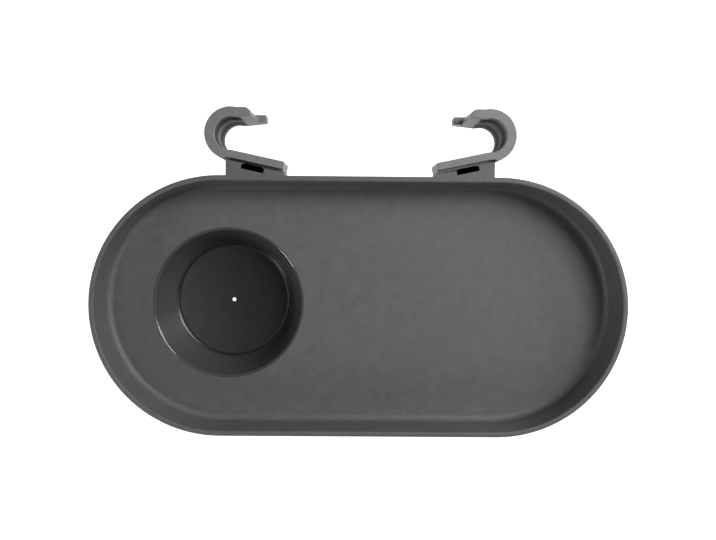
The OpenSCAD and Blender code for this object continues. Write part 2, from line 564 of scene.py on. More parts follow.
@dataclass(frozen=True)
class Noise:
    """Soft noise through the piece.

    Args:
        size: Size of its cells, in millimetres.
        detail: How many finer layers it has.
        fine: How strong each finer layer is beside the one before.
    """

    size: float
    detail: float
    fine: float = 0.55

    def build(self, graph: NodeGraph, place: Signal) -> Signal:
        """Adds the noise at a place given in metres."""
        return graph.node(
            "ShaderNodeTexNoise", None,
            {"Vector": place, "Scale": 1 / (self.size * MM), "Detail": self.detail, "Roughness": self.fine},
        )


@dataclass(frozen=True)
class PolishedHollowWithPaintedShade:
    """A round hollow whose inside the mould leaves smoother and darker.

    Args:
        centre: Its axis on the plan, in millimetres.
        top: Height at which its wall starts.
        bottom: Height of its bottom.
        mouth: Its radius at the top, with half the shell added.
        base: Its radius at the bottom, with half the shell added.
        painted_wall_shade: Colour of its wall, darkened by painted shade, as a share of the plastic's.
        painted_bottom_shade: Colour of its bottom, darkened further by painted shade, as a share of the
            plastic's.
        mouth_polish: How far the roughness drops at its rounded mouth.
        polish: How far the roughness drops below that.
        mouth_drops: How far below the top the one polish ends and the other starts.
        fillet_rises: How far above the bottom the wall's painted shade ends and the bottom's deeper painted
            shade starts.
        skin: How far below the bottom's face its finish goes.
        grain_loss: The share of the grain that the polish takes away.
    """

    centre: Point
    top: float
    bottom: float
    mouth: float
    base: float
    # Painted shade: the well's wall is darkened in colour, and its bottom more deeply
    painted_wall_shade: float = 0.62
    painted_bottom_shade: float = 0.15
    mouth_polish: float = 0.42
    polish: float = 0.28
    mouth_drops: tuple[float, float] = (2.0, 5.0)
    fillet_rises: tuple[float, float] = (2.0, 0.3)
    skin: float = 1.0
    grain_loss: float = 0.7

    def inside(self, graph: NodeGraph, place: Signal, height: Signal) -> Signal:
        """1 on the hollow's inner faces and 0 elsewhere.

        Args:
            graph: The material's graph.
            place: The object's coordinates, in metres.
            height: Their height.

        Returns:
            The share.
        """
        distance = graph.distance(place, self.centre)
        reach = graph.mapped(height, self.top * MM, self.bottom * MM, self.mouth * MM, self.base * MM)
        return (distance < reach) * (height < self.top * MM) * (height > (self.bottom - self.skin) * MM)

    def smoothing(self, graph: NodeGraph, height: Signal) -> Signal:
        """How far the roughness drops at a height."""
        first, last = ((self.top - drop) * MM for drop in self.mouth_drops)
        return graph.mapped(height, first, last, self.mouth_polish, self.polish)

    def share(self, graph: NodeGraph, height: Signal) -> Signal:
        """How far the painted shade goes from the wall's to the bottom's deeper one."""
        first, last = ((self.bottom + rise) * MM for rise in self.fillet_rises)
        return graph.mapped(height, first, last, 0.0, 1.0)


@dataclass(frozen=True)
class GripGroovesWithPaintedShade:
    """The round seats of the two clips, whose grip grooves are duller, with painted shade darkening the
    seats and, more deeply, the grooves.

    Args:
        axis: Distance of each seat's axis from the middle, in millimetres.
        reach: Radius that takes in the seat and its grooves, in millimetres.
        bands: Lowest and highest height of each groove, in millimetres.
        top: Height below the clip's rounded upper edge, where the seat's painted shade and duller roughness
            start.
        painted_seat_shade: Colour of the seat, darkened by painted shade, as a share of the plastic's.
        painted_groove_shade: Colour of a groove, darkened further by painted shade, as a share of the
            plastic's.
        duller: How far the roughness rises in the seat.
    """

    axis: float
    reach: float
    bands: tuple[tuple[float, float], ...]
    top: float = -0.6
    # Painted shade: the seat is darkened in colour, and its grooves more deeply
    painted_seat_shade: float = 0.86
    painted_groove_shade: float = 0.22
    duller: float = 0.2

    def inside(self, graph: NodeGraph, place: Signal, height: Signal) -> Signal:
        """1 on the seats' walls and 0 elsewhere.

        Args:
            graph: The material's graph.
            place: The object's coordinates, in metres.
            height: Their height.

        Returns:
            The share.
        """
        distance = graph.distance(graph.vector("ABSOLUTE", place), (self.axis, 0))
        return (distance < self.reach * MM) * (height < self.top * MM)

    def share(self, height: Signal) -> Signal:
        """1 in a groove and 0 on the lands between."""
        total: Any = 0.0
        for low, high in self.bands:
            total = total + (height > low * MM) * (height < high * MM)
        return total


@dataclass(frozen=True)
class MouldedPlastic:
    """Satin moulded plastic with a fine spark-eroded grain.

    Args:
        name: Name of the material.
        color: Base colour.
        roughness: Mean roughness.
        grain: Size of the grain, in millimetres.
        grain_depth: Depth of the grain, in millimetres.
        sink: Depth of the slow waves that a moulding has, in millimetres.
        shine: How strongly it mirrors, where 0.5 is a bare plastic.
        rubbed: How far the roughness strays where hands rub it.
        drift: How far the colour strays in the plastic's mottle, as a share.
        mottle: The noise of the colour.
        patches: The noise of the rubbed places.
        waves: The noise of the slow waves.
        hollow: The hollow that is polished inside and darkened with painted shade, if there is one.
        grooves: The seats with grip grooves, darkened with painted shade, if there are any.
    """

    name: str
    color: tuple[float, float, float]
    roughness: float
    grain: float
    grain_depth: float
    sink: float
    shine: float
    rubbed: float = 0.10
    drift: float = 0.34
    mottle: Noise = Noise(9.0, 5.0, 0.85)
    patches: Noise = Noise(9.0, 3.0)
    waves: Noise = Noise(28.0, 1.0)
    hollow: PolishedHollowWithPaintedShade | None = None
    grooves: GripGroovesWithPaintedShade | None = None

    GRAIN_DETAIL = 2.5
    IOR = 1.5

    def build(self) -> bpy.types.Material:
        """Makes the material.

        Returns:
            The material, with its nodes linked.
        """
        material = bpy.data.materials.new(self.name)
        material.use_nodes = True
        graph = NodeGraph(material.node_tree)
        place = graph.node("ShaderNodeTexCoord", None, None, "Object")
        height = graph.node("ShaderNodeSeparateXYZ", None, {"Vector": place}, "Z")
        mottle, patches = self.mottle.build(graph, place), self.patches.build(graph, place)
        pores = Noise(self.grain, self.GRAIN_DETAIL).build(graph, place)
        color = graph.mixed(mottle, self._shade(1 - self.drift), self._shade(1 + self.drift))
        roughness = self.roughness + (patches - 0.5) * self.rubbed + (pores - 0.5) * self.rubbed * 0.5
        if self.hollow:
            inside = self.hollow.inside(graph, place, height)
            # Painted shade: the well's inside is darkened, its bottom more than its wall; the polish itself
            # only lowers the roughness
            wall, bottom = self._shade(self.hollow.painted_wall_shade), self._shade(self.hollow.painted_bottom_shade)
            color = graph.mixed(inside, color, graph.mixed(self.hollow.share(graph, height), wall, bottom))
            roughness = roughness - inside * self.hollow.smoothing(graph, height)
            pores = pores * (1 - inside * self.hollow.grain_loss)
        if self.grooves:
            inside = self.grooves.inside(graph, place, height)
            # Painted shade: the seats are darkened, and their grip grooves more deeply
            land, groove = self._shade(self.grooves.painted_seat_shade), self._shade(self.grooves.painted_groove_shade)
            color = graph.mixed(inside, color, graph.mixed(self.grooves.share(height), land, groove))
            roughness = roughness + inside * self.grooves.duller
        waves = self.waves.build(graph, place)
        swell = graph.node("ShaderNodeBump", None, {"Height": waves, "Distance": self.sink * MM})
        bump = graph.node(
            "ShaderNodeBump", None,
            {"Height": pores, "Distance": self.grain_depth * MM, "Normal": swell},
        )
        surface = graph.node(
            "ShaderNodeBsdfPrincipled", None,
            {
                "Base Color": color, "Roughness": roughness, "Normal": bump,
                "IOR": self.IOR, "Specular IOR Level": self.shine,
            },
        )
        graph.node("ShaderNodeOutputMaterial", None, {"Surface": surface})
        return material

    def _shade(self, share: float) -> tuple[float, float, float, float]:
        """The base colour times a share."""
        return tuple(min(1.0, channel * share) for channel in self.color) + (1.0,)


# The tray's cup well is darkened inside with painted shade
TRAY_FINISH = MouldedPlastic(
    "TrayPlastic", color=(0.125, 0.122, 0.117), roughness=0.56,
    grain=0.55, grain_depth=0.012, sink=0.02, shine=0.5,
    hollow=PolishedHollowWithPaintedShade(centre=(-84.5, -105.8), top=-26.05, bottom=-51.0, mouth=49.9, base=39.95),
)
# The clips' seats and grip grooves are darkened with painted shade
CLIP_FINISH = MouldedPlastic(
    "ClipPlastic", color=(0.22, 0.218, 0.212), roughness=0.46,
    grain=0.45, grain_depth=0.010, sink=0.01, shine=0.4,
    grooves=GripGroovesWithPaintedShade(axis=79.0, reach=11.4, bands=((-35.28, -23.52), (-15.12, -2.94))),
)


# Sub-assemblies


@dataclass
class Clips:
    """Sizes that the two clips and the tray's brackets share, in millimetres.

    Args:
        pitch: Distance between the axes of the two seats.
        seat_radius: Radius of the seat's wall.
        thickness: Thickness of the C, the lip and the tail plate.
        snap: How far the lip and the tail plate stand inside the seat's radius.
        height: Height of the clip below the rim.
        tail_angle: How far the tail plate falls towards the tray, in degrees.
        tail_length: Length of the tail plate from the seat's axis.
        slide_gap: Sliding gap between the clip and the bracket.
        neck_width: Width of the T-rail's neck.
        neck_depth: Depth of the neck.
        head_width: Width of the T-rail's head.
        head_depth: Depth of the head.
        rail_offset: Distance along the tail plate from the seat's axis to the rail's middle.
    """

    pitch: float = 158.0
    seat_radius: float = 10.1
    thickness: float = 6.0
    snap: float = 0.3
    height: float = 42.0
    tail_angle: float = 12.0
    tail_length: float = 35.5
    slide_gap: float = 0.3
    neck_width: float = 10.0
    neck_depth: float = 1.2
    head_width: float = 12.6
    head_depth: float = 1.6
    rail_offset: float = 17.5

    @property
    def outer_radius(self) -> float:
        """Radius of the clip's outer face."""
        return self.seat_radius + self.thickness

    @property
    def plate_inner(self) -> float:
        """Distance from the seat's axis to the inner face of the lip and the tail."""
        return self.seat_radius - self.snap

    @property
    def plate_outer(self) -> float:
        """Distance from the seat's axis to the outer face of the lip and the tail."""
        return self.plate_inner + self.thickness

    @property
    def slot_face(self) -> float:
        """Distance from the seat's axis to the bracket's face."""
        return self.plate_outer + self.slide_gap

    @property
    def tail_turn(self) -> float:
        """Direction of the tail plate, in radians."""
        return math.radians(-self.tail_angle)

    def from_tail(self, along: float, across: float) -> Point:
        """A point given along and across the tail plate, in the seat's own axes."""
        cosine, sine = math.cos(self.tail_turn), math.sin(self.tail_turn)
        return (along * cosine - across * sine, along * sine + across * cosine)

    def along_tail(self, x: float, y: float) -> float:
        """How far along the tail plate a point lies."""
        return x * math.cos(self.tail_turn) + y * math.sin(self.tail_turn)

    def across_tail(self, x: float, y: float) -> float:
        """How far across the tail plate a point lies."""
        return y * math.cos(self.tail_turn) - x * math.sin(self.tail_turn)

    def tail_corner(self, along: float, across: float, rounding: float = 0.0) -> Corner:
        """A corner given along and across the tail plate."""
        return Corner(*self.from_tail(along, across), rounding)

    def placed(self, side: int, x: float, y: float, z: float) -> Place:
        """A point in the part's frame, at the left seat (-1) or the right one (1)."""
        return (side * (self.pitch / 2 - x), y, z)


@dataclass
class Tray:
    """The tray: rim, walls, floor, cup well and the two wedge brackets, in millimetres.

    Args:
        clips: Sizes that the brackets share with the clips.
        length: Length over the rim.
        width: Width over the rim.
        depth: Depth from the rim to the floor.
        rim_width: Width of the rim's upper face.
        shell: Thickness of the floor and the well.
        draft: Lean of the walls, in degrees.
        rim_outer_round: Rounding of the rim's outer edge.
        rim_inner_round: Rounding of the rim's inner edge.
        floor_fillet: Rounding between the wall and the floor.
        base_round: Rounding of the outer bottom edge.
        well_inset: How far the well's axis stands in from the middle of the rounded end.
        well_mouth: Diameter of the well at the floor.
        well_base: Diameter of the well at its bottom.
        well_depth: Depth of the well below the floor.
        well_mouth_round: Rounding of the well's mouth.
        well_base_fillet: Rounding at the well's bottom.
        well_root_round: Rounding where the well's outside meets the floor's underside.
        drain: Diameter of the drain hole.
        drain_rounds: Roundings of the drain hole's upper and lower edge.
        standoff: Distance from the seats' axes to the rim.
        bracket_outer: Distance from the middle to the bracket's outer face.
        bracket_width: Width of the bracket along the tray.
        bracket_edge: Rounding of the bracket's upper and lower edge.
        bracket_face_rounds: Roundings of the face's upright edges, far and near.
        slot_mouth_round: Rounding of the slot's mouth.
        slot_round: Rounding of the slot's other edges.
        toe_levels: Depths below the floor's upper face, between which the bracket
            steps in under the tray.
        toe_lap: How far it reaches there past the tray's rounded bottom edge.
        lap: How far the bracket laps into the tray's wall.
        flat: Width of the flat floor on each side of a profile.
        arc_points: Points round each half turn.
    """

    clips: Clips
    length: float = 332.6
    width: float = 161.0
    depth: float = 26.0
    rim_width: float = 3.4
    shell: float = 2.4
    draft: float = 2.0
    rim_outer_round: float = 1.3
    rim_inner_round: float = 1.0
    floor_fillet: float = 4.0
    base_round: float = 5.0
    well_inset: float = 1.3
    well_mouth: float = 95.0
    well_base: float = 77.5
    well_depth: float = 25.0
    well_mouth_round: float = 2.5
    well_base_fillet: float = 3.5
    well_root_round: float = 0.8
    drain: float = 2.6
    drain_rounds: tuple[float, float] = (0.4, 0.3)
    standoff: float = 25.3
    bracket_outer: float = 82.1
    bracket_width: float = 35.8
    bracket_edge: float = 0.4
    bracket_face_rounds: tuple[float, float] = (0.3, 0.6)
    slot_mouth_round: float = 0.2
    slot_round: float = 0.15
    toe_levels: tuple[float, float] = (0.6, 0.4)
    toe_lap: float = 1.2
    lap: float = 2.3
    flat: float = 6.0
    arc_points: int = 97

    @property
    def base_depth(self) -> float:
        """Depth from the rim to the underside of the floor."""
        return self.depth + self.shell

    @property
    def rim_radius(self) -> float:
        """Radius of the tray's rounded ends."""
        return self.width / 2

    @property
    def half_straight(self) -> float:
        """Half the length of the straight sides."""
        return (self.length - self.width) / 2

    def wall_profile(self) -> list[Point]:
        """Profile from the floor up the inner wall, over the rim and down outside."""
        lean = math.tan(math.radians(self.draft))
        inner_top = self.rim_radius - self.rim_width
        inner_foot = inner_top - self.depth * lean
        outer_foot = self.rim_radius - self.base_depth * lean
        return rounded([
            Corner(inner_foot - self.floor_fillet - self.flat, -self.depth),
            Corner(inner_foot, -self.depth, self.floor_fillet),
            Corner(inner_top, 0, self.rim_inner_round),
            Corner(self.rim_radius, 0, self.rim_outer_round),
            Corner(outer_foot, -self.base_depth, self.base_round),
            Corner(outer_foot - self.base_round - self.flat, -self.base_depth),
        ], closed=False)

    def well_profile(self) -> list[Point]:
        """Profile from the floor down into the well, out of its drain and back up."""
        mouth, base = self.well_mouth / 2, self.well_base / 2
        lean = (mouth - base) / self.well_depth
        skin = self.shell * math.hypot(1, lean)
        bottom = -self.depth - self.well_depth
        outer_base = mouth + skin - (self.well_depth + self.shell) * lean
        outer_top = mouth + skin - self.shell * lean
        return rounded([
            Corner(mouth + self.flat, -self.depth),
            Corner(mouth, -self.depth, self.well_mouth_round),
            Corner(base, bottom, self.well_base_fillet),
            Corner(self.drain / 2, bottom, self.drain_rounds[0]),
            Corner(self.drain / 2, bottom - self.shell, self.drain_rounds[1]),
            Corner(outer_base, bottom - self.shell, self.well_base_fillet + self.shell),
            Corner(outer_top, -self.base_depth, self.well_root_round),
            Corner(outer_top + self.flat, -self.base_depth),
        ], closed=False)

    def bracket(self, side: int) -> bpy.types.Object:
        """Makes a wedge bracket with its T-slot.

        Args:
            side: -1 for the left bracket and 1 for the right one.

        Returns:
            The bracket as a closed solid, which laps into the tray's wall.
        """
        clips = self.clips
        near = clips.pitch / 2 - self.bracket_outer
        far = near + self.bracket_width
        front = -self.standoff - self.lap
        toe = -self.standoff - self.base_round - self.toe_lap
        face = -clips.slot_face
        turn = clips.tail_turn
        ends = [(x + face * math.sin(turn)) / math.cos(turn) for x in (far, near)]
        outline = rounded([
            Corner(near, front),
            Corner(far, front),
            clips.tail_corner(ends[0], face, self.bracket_face_rounds[0]),
            *self.slot_corners(),
            clips.tail_corner(ends[1], face, self.bracket_face_rounds[1]),
        ], closed=True, step=30)
        normals = outward(outline)
        low_toe, high_toe = (-self.depth - drop for drop in self.toe_levels)
        levels = [
            *reversed(edge_levels(-self.base_depth, self.bracket_edge, up=False)),
            Level(low_toe),
            Level(high_toe),
            *edge_levels(0, self.bracket_edge, up=True),
        ]
        rings = []
        for level in levels:
            ring = []
            for (x, y), normal in zip(outline, normals):
                reach = toe - front if y == front and level.z <= low_toe else 0
                x, y = x - normal.x * level.inset, y + reach - normal.y * level.inset
                ring.append(clips.placed(side, x, y, level.z))
            rings.append(ring)
        return loft("BracketLeft" if side < 0 else "BracketRight", rings)

    def slot_corners(self) -> list[Corner]:
        """Corners of the T-slot in a bracket's face, from its far side to its near one."""
        clips = self.clips
        gap = clips.slide_gap
        face = -clips.slot_face
        lip = face - clips.neck_depth + gap
        bottom = face - clips.neck_depth - clips.head_depth - gap
        corners = []
        for sign in (1, -1):
            neck = clips.rail_offset + sign * (clips.neck_width / 2 + gap)
            head = clips.rail_offset + sign * (clips.head_width / 2 + gap)
            corners.append([
                clips.tail_corner(neck, face, self.slot_mouth_round),
                clips.tail_corner(neck, lip, self.slot_round),
                clips.tail_corner(head, lip, self.slot_round),
                clips.tail_corner(head, bottom, self.slot_round),
            ])
        return [*corners[0], *reversed(corners[1])]

    def build(self, plastic: bpy.types.Material) -> bpy.types.Object:
        """Makes the tray.

        Args:
            plastic: The tray's material.

        Returns:
            The tray as one closed mesh.
        """
        profile = closed_profile("Tray", [(self.wall_profile(), 1.0), (self.well_profile()[::-1], 0.0)])
        ShellTree().apply(profile, {
            "Half straight": self.half_straight * MM,
            "Well axis": (self.half_straight - self.well_inset) * MM,
            "Arc points": self.arc_points,
            "Plastic": plastic,
        })
        shell = settle(profile, "Tray")
        shell.data.transform(Matrix.Translation((0, -(self.rim_radius + self.standoff) * MM, 0)))
        face_outwards(shell.data)
        return merged(shell, [self.bracket(-1), self.bracket(1)], plastic)


@dataclass
class Clip:
    """One C-shaped clip: lip, seat, tail plate, T-rail and foot, in millimetres.

    Args:
        clips: Sizes that the clips share with the brackets.
        side: -1 for the left clip and 1 for the right one.
        tray_base: Depth from the rim to the brackets' underside.
        lip_length: Length of the lip from the seat's axis.
        lip_cut_back: How far the lip is cut back above its tab.
        lip_tab_height: Height of the tab.
        lip_lean: How far the lip's inner face leans out at its tip.
        lean_start: Where the lean starts, as a share of the lip's length.
        cut_slope: How far the cut end slopes, as a share of the cut.
        tip_round: Rounding of the lip's tip.
        tip_run: Length that the points beside the tip share once they are cut back.
        hinge: Distance between the two points where the cut starts.
        tab_fillet: Heights over the tab, and how far its fillet reaches at each.
        shoulder: Radius of the lip's rounded corner above the tab.
        shoulder_share: The share of that radius at which the rounding ends.
        shoulder_points: Points along the rounding.
        seat_edge: Distances from the seat's axis of the points beside the seat.
        outer_steps: Steps round the outer face of the C.
        inner_steps: Steps round the seat.
        rebate_width: How far the tail plate is cut back near its top.
        rebate_depth: How far down the cut goes.
        rebate_step: Height of the cut's ledge.
        rebate_start: Where along the tail plate the cut starts.
        rebate_run: Length over which it deepens.
        groove_depth: Depth of the two grip grooves.
        groove_tops: Highest place of each groove, as a share of the height.
        groove_bottoms: Lowest place of each groove, as a share of the height.
        tail_full: Where the tail plate's lower edge starts to climb, as a share of its
            length.
        tail_end: Height of the tail plate at its end, as a share of the clip's.
        tail_rounds: Roundings of the plate's outer and inner end edge.
        rail_drop: Distance from the rim down to the rail's top.
        rail_edge: Rounding of the rail's edges.
        foot_height: Height of the foot.
        foot_edge: Rounding of the foot's front edges.
        foot_lap: How far the rail laps into the foot.
        edge: Rounding of the clip's upper and lower edge.
    """

    clips: Clips
    side: int
    tray_base: float = 28.4
    lip_length: float = 18.3
    lip_cut_back: float = 6.3
    lip_tab_height: float = 10.5
    lip_lean: float = 1.6
    lean_start: float = 0.25
    cut_slope: float = 0.2
    tip_round: float = 0.9
    tip_run: float = 1.0
    hinge: float = 0.6
    tab_fillet: tuple[tuple[float, float], ...] = ((0.02, 0.35), (0.12, 0.1), (0.35, 0.0))
    shoulder: float = 4.0
    shoulder_share: float = 0.97
    shoulder_points: int = 6
    seat_edge: tuple[float, ...] = (3.2, 4.0, 4.7, 5.4)
    outer_steps: int = 72
    inner_steps: int = 60
    rebate_width: float = 1.3
    rebate_depth: float = 4.4
    rebate_step: float = 0.05
    rebate_start: float = -2.5
    rebate_run: float = 3.0
    groove_depth: float = 1.0
    groove_tops: tuple[float, ...] = (0.07, 0.56)
    groove_bottoms: tuple[float, ...] = (0.36, 0.84)
    tail_full: float = 0.2
    tail_end: float = 0.72
    tail_rounds: tuple[float, float] = (0.6, 0.9)
    rail_drop: float = 7.0
    rail_edge: float = 0.3
    foot_height: float = 3.5
    foot_edge: float = 0.4
    foot_lap: float = 0.5
    edge: float = 0.5

    @property
    def name(self) -> str:
        """Name of this clip's piece."""
        return "ClipLeft" if self.side < 0 else "ClipRight"

    @property
    def grooves(self) -> list[Point]:
        """Highest and lowest height of each grip groove."""
        height = self.clips.height
        shares = zip(self.groove_tops, self.groove_bottoms)
        return [(-top * height, -bottom * height) for top, bottom in shares]

    def groove_radius(self, z: float) -> float:
        """Radius of the seat's wall at a height, with the two grip grooves."""
        for top, bottom in self.grooves:
            if bottom < z < top:
                return self.clips.seat_radius + min(top - z, (z - bottom) / 2, self.groove_depth)
        return self.clips.seat_radius

    def groove_levels(self) -> list[Level]:
        """Levels of the grooves' edges, from the lowest up."""
        levels = []
        for top, bottom in self.grooves:
            inner_top, inner_bottom = top - self.groove_depth, bottom + 2 * self.groove_depth
            levels += [top, inner_top, inner_bottom, bottom]
        return [Level(z) for z in sorted(levels)]

    @property
    def ledge(self) -> float:
        """Height of the tab's upper face."""
        return self.lip_tab_height - self.clips.height

    def tip(self, z: float) -> float:
        """How far the cut back part of the lip reaches at a height above the tab."""
        return self.lip_length - self.lip_cut_back * (1 - self.cut_slope * z / self.ledge)

    @property
    def tab_start(self) -> float:
        """How far along the lip the tab's own rounded edges start."""
        return self.tip(self.ledge) - self.tip_round - self.hinge

    def lip_inner(self, x: float) -> float:
        """Where the lip's inner face lies."""
        start = self.lean_start * self.lip_length
        share = max(0.0, x - start) / (self.lip_length - start)
        return self.clips.plate_inner + self.lip_lean * share

    def shoulder_drop(self, x: float, tip: float) -> float:
        """How far the rounded shoulder above the tab falls behind the lip's outer face."""
        reach = min(max(0.0, x - tip + self.shoulder), self.shoulder_share * self.shoulder)
        return self.shoulder - math.sqrt(self.shoulder ** 2 - reach ** 2)

    def cut_back(self, x: float, y: float, tip: float) -> Point:
        """Moves a point of the full lip to the lip whose tip is given.

        Args:
            x: The point along the lip.
            y: The point across the lip.
            tip: How far the cut back lip reaches.

        Returns:
            The point in its new place.
        """
        clips = self.clips
        corner = self.lip_length - self.tip_round
        if x < self.tab_start - SAME:
            return (x, y - self.shoulder_drop(x, tip))
        if x >= corner:
            moved = x - self.lip_length + tip
        else:
            share = (x - self.tab_start) / (corner - self.tab_start)
            moved = tip - self.tip_round - self.tip_run * (1 - share)
        drop = self.shoulder_drop(moved, tip)
        thin = (clips.plate_outer - drop - self.lip_inner(moved)) / (clips.plate_outer - self.lip_inner(x))
        return (moved, clips.plate_outer - drop - (clips.plate_outer - y) * thin)

    def outline(self) -> list[Point]:
        """Plan of the clip in the seat's own axes.

        Returns:
            The points, anticlockwise from the lip's tip.
        """
        clips = self.clips
        outer, inner = clips.outer_radius, clips.seat_radius
        hinge = [self.tab_start, self.tab_start + self.hinge]
        count = self.shoulder_points
        shoulder = [self.tab_start - self.shoulder * part / count for part in range(1, count + 1)]
        lip_out = math.degrees(math.acos(clips.plate_outer / outer))
        lip_in = math.degrees(math.acos(clips.plate_inner / inner))
        full = self.tail_full * clips.tail_length
        return rounded([
            Corner(self.lip_length, clips.plate_outer, self.tip_round),
            *[Corner(along, clips.plate_outer) for along in reversed(hinge)],
            *[Corner(along, clips.plate_outer) for along in shoulder],
            *arc(outer, 90 - lip_out, 270 - clips.tail_angle + lip_out, self.outer_steps),
            clips.tail_corner(full, -clips.plate_outer),
            clips.tail_corner(clips.tail_length, -clips.plate_outer, self.tail_rounds[0]),
            clips.tail_corner(clips.tail_length, -clips.plate_inner, self.tail_rounds[1]),
            clips.tail_corner(full, -clips.plate_inner),
            *[clips.tail_corner(along, -clips.plate_inner) for along in reversed(self.seat_edge)],
            *reversed(arc(inner, 90 - lip_in, 270 - clips.tail_angle + lip_in, self.inner_steps)),
            *[Corner(along, self.lip_inner(along)) for along in (*self.seat_edge, *hinge)],
            Corner(self.lip_length, self.lip_inner(self.lip_length), self.tip_round),
        ], closed=True, step=15)

    def rebate(self, along: float, across: float) -> float:
        """How far the tail plate is cut back near its top, to stand clear of the bracket.

        Args:
            along: The point along the tail plate.
            across: The point across it.

        Returns:
            The distance, which is 0 on the plate's inner half.
        """
        if across > -(self.clips.plate_outer - self.clips.thickness / 2):
            return 0.0
        return self.rebate_width * min(1.0, max(0.0, (along - self.rebate_start) / self.rebate_run))

    def shaped(self, x: float, y: float, z: float) -> Place:
        """Moves a point of the straight clip to its place in the real one.

        The seat gets its grooves, and the tail plate its rebate and its climbing lower
        edge.

        Args:
            x: First coordinate from the seat's axis.
            y: Second coordinate from the seat's axis.
            z: Height.

        Returns:
            The place in the part's frame.
        """
        clips = self.clips
        distance = math.hypot(x, y)
        wanted = self.groove_radius(z)
        if distance < wanted:
            x, y = x * wanted / distance, y * wanted / distance
        along = clips.along_tail(x, y)
        if z > -self.rebate_depth:
            across = clips.across_tail(x, y)
            x, y = clips.from_tail(along, across + self.rebate(along, across))
        start = self.tail_full * clips.tail_length
        if y < 0 and along > start:
            share = (along - start) / (clips.tail_length - start)
            z *= 1 - share * (1 - self.tail_end)
        return clips.placed(self.side, x, y, z)

    def body(self) -> bpy.types.Object:
        """Makes the C, the lip and the tail plate as one loft.

        Returns:
            The body as a closed solid.
        """
        outline = self.outline()
        normals = outward(outline)
        tab_edge = edge_levels(self.ledge, self.edge, up=True)
        levels = [
            *reversed(edge_levels(-self.clips.height, self.edge, up=False)),
            *self.groove_levels(),
            Level(-self.rebate_depth),
            Level(-self.rebate_depth + self.rebate_step),
            *tab_edge,
            *[Level(self.ledge + rise) for rise, _ in self.tab_fillet],
            *edge_levels(0, self.edge, up=True),
        ]
        foot_reach = {self.ledge + rise: reach for rise, reach in self.tab_fillet}
        rings = []
        for level in sorted(levels, key=lambda level: level.z):
            ring = []
            for (x, y), normal in zip(outline, normals):
                on_tab = y > 0 and x > self.tab_start - SAME
                on_face = y > self.clips.plate_outer - SAME
                on_shoulder = on_face and x > self.tab_start - self.shoulder - SAME
                if (on_tab or on_shoulder) and level.z > self.ledge:
                    x, y = self.cut_back(x, y, self.tip(level.z) + foot_reach.get(level.z, 0.0))
                rounded_here = level not in tab_edge or (on_tab and x > self.tab_start + self.hinge / 2)
                inset = level.inset if rounded_here else 0.0
                ring.append(self.shaped(x - normal.x * inset, y - normal.y * inset, level.z))
            rings.append(ring)
        start = self.tail_full * self.clips.tail_length
        fold = []
        for across in (self.clips.plate_outer, self.clips.plate_inner):
            spot = self.clips.from_tail(start, -across)
            fold.append(min(range(len(outline)), key=lambda index: math.dist(outline[index], spot)))
        return loft(self.name, rings, [(fold[0], fold[1])])

    def rail(self) -> bpy.types.Object:
        """Makes the T-rail.

        Returns:
            The rail as a closed solid, whose root lies inside the tail plate.
        """
        clips = self.clips
        edge = self.rail_edge
        root = -clips.plate_outer + clips.thickness / 2
        front = -clips.slot_face - clips.neck_depth
        end = front - clips.head_depth
        neck = [clips.rail_offset + sign * clips.neck_width / 2 for sign in (-1, 1)]
        head = [clips.rail_offset + sign * clips.head_width / 2 for sign in (-1, 1)]
        outline = rounded([
            clips.tail_corner(head[0], end, edge),
            clips.tail_corner(head[1], end, edge),
            clips.tail_corner(head[1], front, edge),
            clips.tail_corner(neck[1], front),
            clips.tail_corner(neck[1], root),
            clips.tail_corner(neck[0], root),
            clips.tail_corner(neck[0], front),
            clips.tail_corner(head[0], front, edge),
        ], closed=True, step=30)
        normals = outward(outline)
        low = -self.tray_base - clips.slide_gap - self.foot_lap
        levels = [
            *reversed(edge_levels(low, edge, up=False, steps=3)),
            *edge_levels(-self.rail_drop, edge, up=True, steps=3),
        ]
        rings = [
            [
                clips.placed(self.side, x - normal.x * level.inset, y - normal.y * level.inset, level.z)
                for (x, y), normal in zip(outline, normals)
            ]
            for level in levels
        ]
        return loft(f"{self.name}Rail", rings)

    def foot(self) -> bpy.types.Object:
        """Makes the foot that the bracket stands on.

        Returns:
            The foot as a closed solid, whose root lies inside the tail plate.
        """
        clips = self.clips
        top = -self.tray_base - clips.slide_gap
        root = -clips.plate_outer + clips.thickness / 2
        front = -clips.slot_face - clips.neck_depth - clips.head_depth
        ends = [clips.rail_offset + sign * clips.head_width / 2 for sign in (-1, 1)]
        half = self.foot_height / 2
        slope = front + clips.plate_outer
        side_profile = rounded([
            Corner(root, top),
            Corner(root, top - self.foot_height),
            Corner(-clips.plate_outer, top - half + slope),
            Corner(front, top - half, self.foot_edge),
            Corner(front, top, self.foot_edge),
        ], closed=True, step=30)
        rings = [
            [clips.placed(self.side, *clips.from_tail(along, across), z) for across, z in side_profile]
            for along in ends
        ]
        return loft(f"{self.name}Foot", rings)

    def build(self, plastic: bpy.types.Material) -> bpy.types.Object:
        """Makes the clip.

        Args:
            plastic: The clip's material.

        Returns:
            The clip as one closed mesh.
        """
        return merged(self.body(), [self.rail(), self.foot()], plastic)


# Studio


